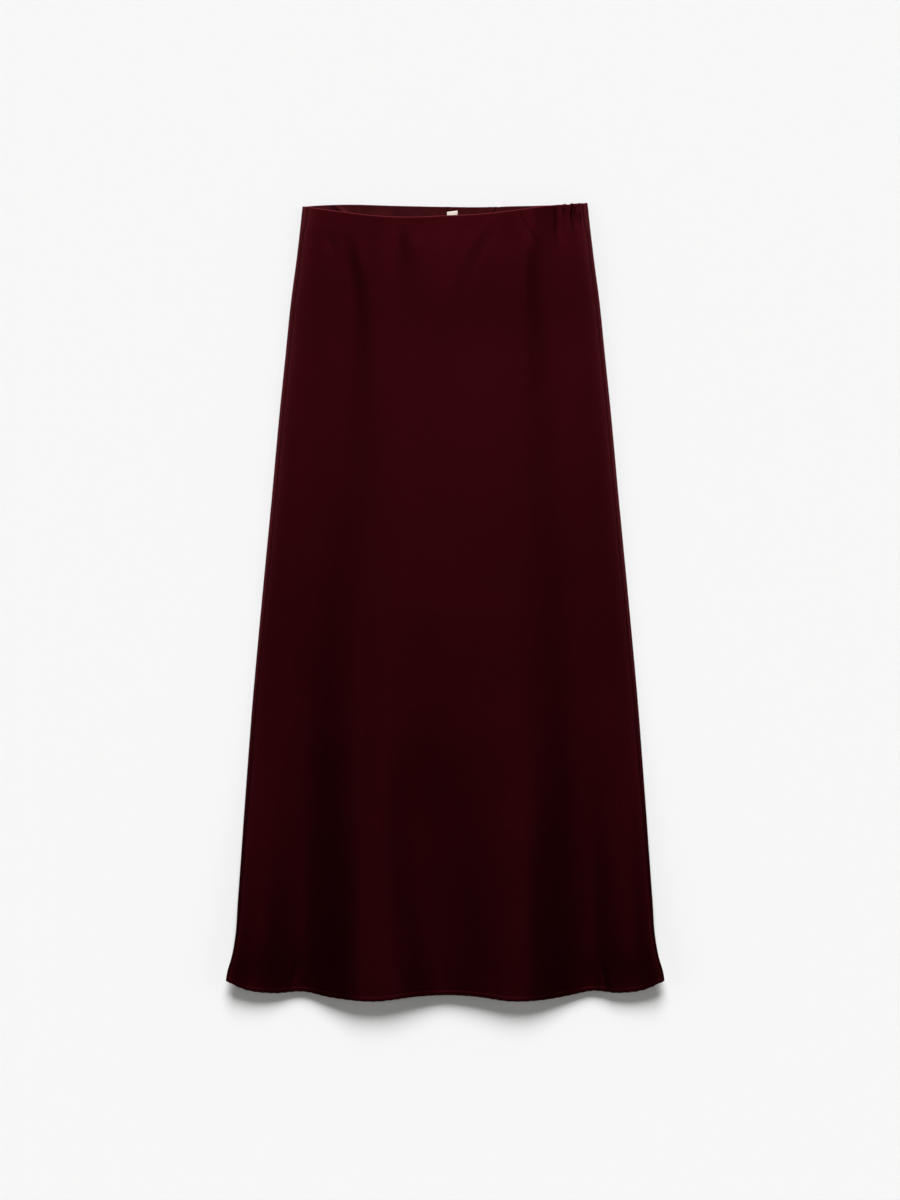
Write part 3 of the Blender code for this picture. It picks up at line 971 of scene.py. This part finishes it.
across = np.arange(-FRONT_STITCHES_TO, FRONT_STITCHES_TO, STITCH_PITCH)
share = across / side(HEM_CORNER_DOWN)
hem = edge_down(HEM, share)
down = hem - HEM_DRAWN_BACK * front_outside(share, across, hem) - HEM_STITCH_UP
height = front_outside(share, across, down) + SATIN / 2 - FRONT_THREAD_SUNK
front_stitches = stitch_row("hem_stitches_front", list(zip(across, LENGTH / 2 - down, height)))

for side_name, hand in (("left", -1), ("right", 1)):
    outward = np.arange(BACK_STITCHES_FROM, BACK_STITCHES_TO, STITCH_PITCH) / HEM_HALF_WIDTH
    down = edge_down(HEM, hand * outward) - BACK_HEM_SHORTER - HEM_STITCH_UP
    across = CENTRE_SEAM + (hand * side(down) - CENTRE_SEAM) * outward
    height = corner_lift(across, down) + fold_rise(BACK_FOLDS, across, down) + BACK_THREAD_SUNK
    stitch_row(f"hem_stitches_back_{side_name}", list(zip(across, LENGTH / 2 - down, height)))

# ---------------------------------------------------------------------------------------------
# The floor, the light and the camera
#
# A plain pale floor and a camera straight above. A big soft light comes from beyond the waist, a
# weak one from near the camera gives the satin its sheen, and two weak ones come from the sides.
# ---------------------------------------------------------------------------------------------

FLOOR_HALF_WIDTH = 8
FLOOR_LEVEL = -0.0006
floor_mesh = bpy.data.meshes.new("floor")
floor_sheet = bmesh.new()
bmesh.ops.create_grid(floor_sheet, x_segments=1, y_segments=1, size=FLOOR_HALF_WIDTH)
floor_sheet.to_mesh(floor_mesh)
floor_sheet.free()
floor = bpy.data.objects.new("floor", floor_mesh)
floor.location = (0, 0, FLOOR_LEVEL)
bpy.context.scene.collection.objects.link(floor)
pale = bpy.data.materials.new("pale floor")
pale.use_nodes = True
pale_shader = pale.node_tree.nodes["Principled BSDF"]
pale_shader.inputs["Base Color"].default_value = (0.86, 0.86, 0.86, 1)
pale_shader.inputs["Roughness"].default_value = 0.9
pale_shader.inputs["Specular IOR Level"].default_value = 0.2
floor_mesh.materials.append(pale)


def far_light(name, energy, spread, turned_about_x=0, turned_about_y=0, colour=(1, 1, 1)):
    """A soft light from far away, which shines straight down before it is turned, in degrees."""
    lamp = bpy.data.lights.new(name, "SUN")
    lamp.energy = energy
    lamp.color = colour
    lamp.angle = np.radians(spread)
    lamp_object = bpy.data.objects.new(name, lamp)
    lamp_object.rotation_euler = Euler((np.radians(turned_about_x), np.radians(turned_about_y), 0))
    bpy.context.scene.collection.objects.link(lamp_object)


far_light("key light", energy=4.80, spread=30, turned_about_x=-57, colour=(0.99, 0.99, 1.0))
far_light("sheen light", energy=0.345, spread=8, turned_about_x=-9.5)
far_light("left light", energy=0.24, spread=24, turned_about_y=-65)
far_light("right light", energy=0.24, spread=24, turned_about_y=65)

# The room is brightest low down and dark overhead.
ROOM_STRENGTH = 0.9
ROOM_POWER = 3
world = bpy.data.worlds.new("soft room")
world.use_nodes = True
room_nodes, room_links = world.node_tree.nodes, world.node_tree.links
background = room_nodes["Background"]
direction = room_nodes.new("ShaderNodeTexCoord")
upward = room_nodes.new("ShaderNodeSeparateXYZ")
room_links.new(direction.outputs["Generated"], upward.inputs["Vector"])
lowness = room_nodes.new("ShaderNodeMath")
lowness.operation = "SUBTRACT"
lowness.use_clamp = True
lowness.inputs[0].default_value = 1
room_links.new(upward.outputs["Z"], lowness.inputs[1])
glow = room_nodes.new("ShaderNodeMath")
glow.operation = "POWER"
glow.inputs[1].default_value = ROOM_POWER
room_links.new(lowness.outputs[0], glow.inputs[0])
strength = room_nodes.new("ShaderNodeMath")
strength.operation = "MULTIPLY"
strength.inputs[1].default_value = ROOM_STRENGTH
room_links.new(glow.outputs[0], strength.inputs[0])
background.inputs["Color"].default_value = (1, 0.975, 0.86, 1)
room_links.new(strength.outputs[0], background.inputs["Strength"])
bpy.context.scene.world = world
bpy.context.scene.view_settings.view_transform = "Standard"

# The frame is this many metres high at the floor, and its middle is a little up and right of the
# skirt's.
FRAME_HEIGHT = 1.356
FRAME_MIDDLE = (0.0054, 0.0027)
CAMERA_HEIGHT = 3.2
camera = bpy.data.cameras.new("camera")
camera.sensor_width = 36
camera.lens = camera.sensor_width * CAMERA_HEIGHT / FRAME_HEIGHT
camera_object = bpy.data.objects.new("camera", camera)
camera_object.location = (*FRAME_MIDDLE, CAMERA_HEIGHT)
bpy.context.scene.collection.objects.link(camera_object)
bpy.context.scene.camera = camera_object
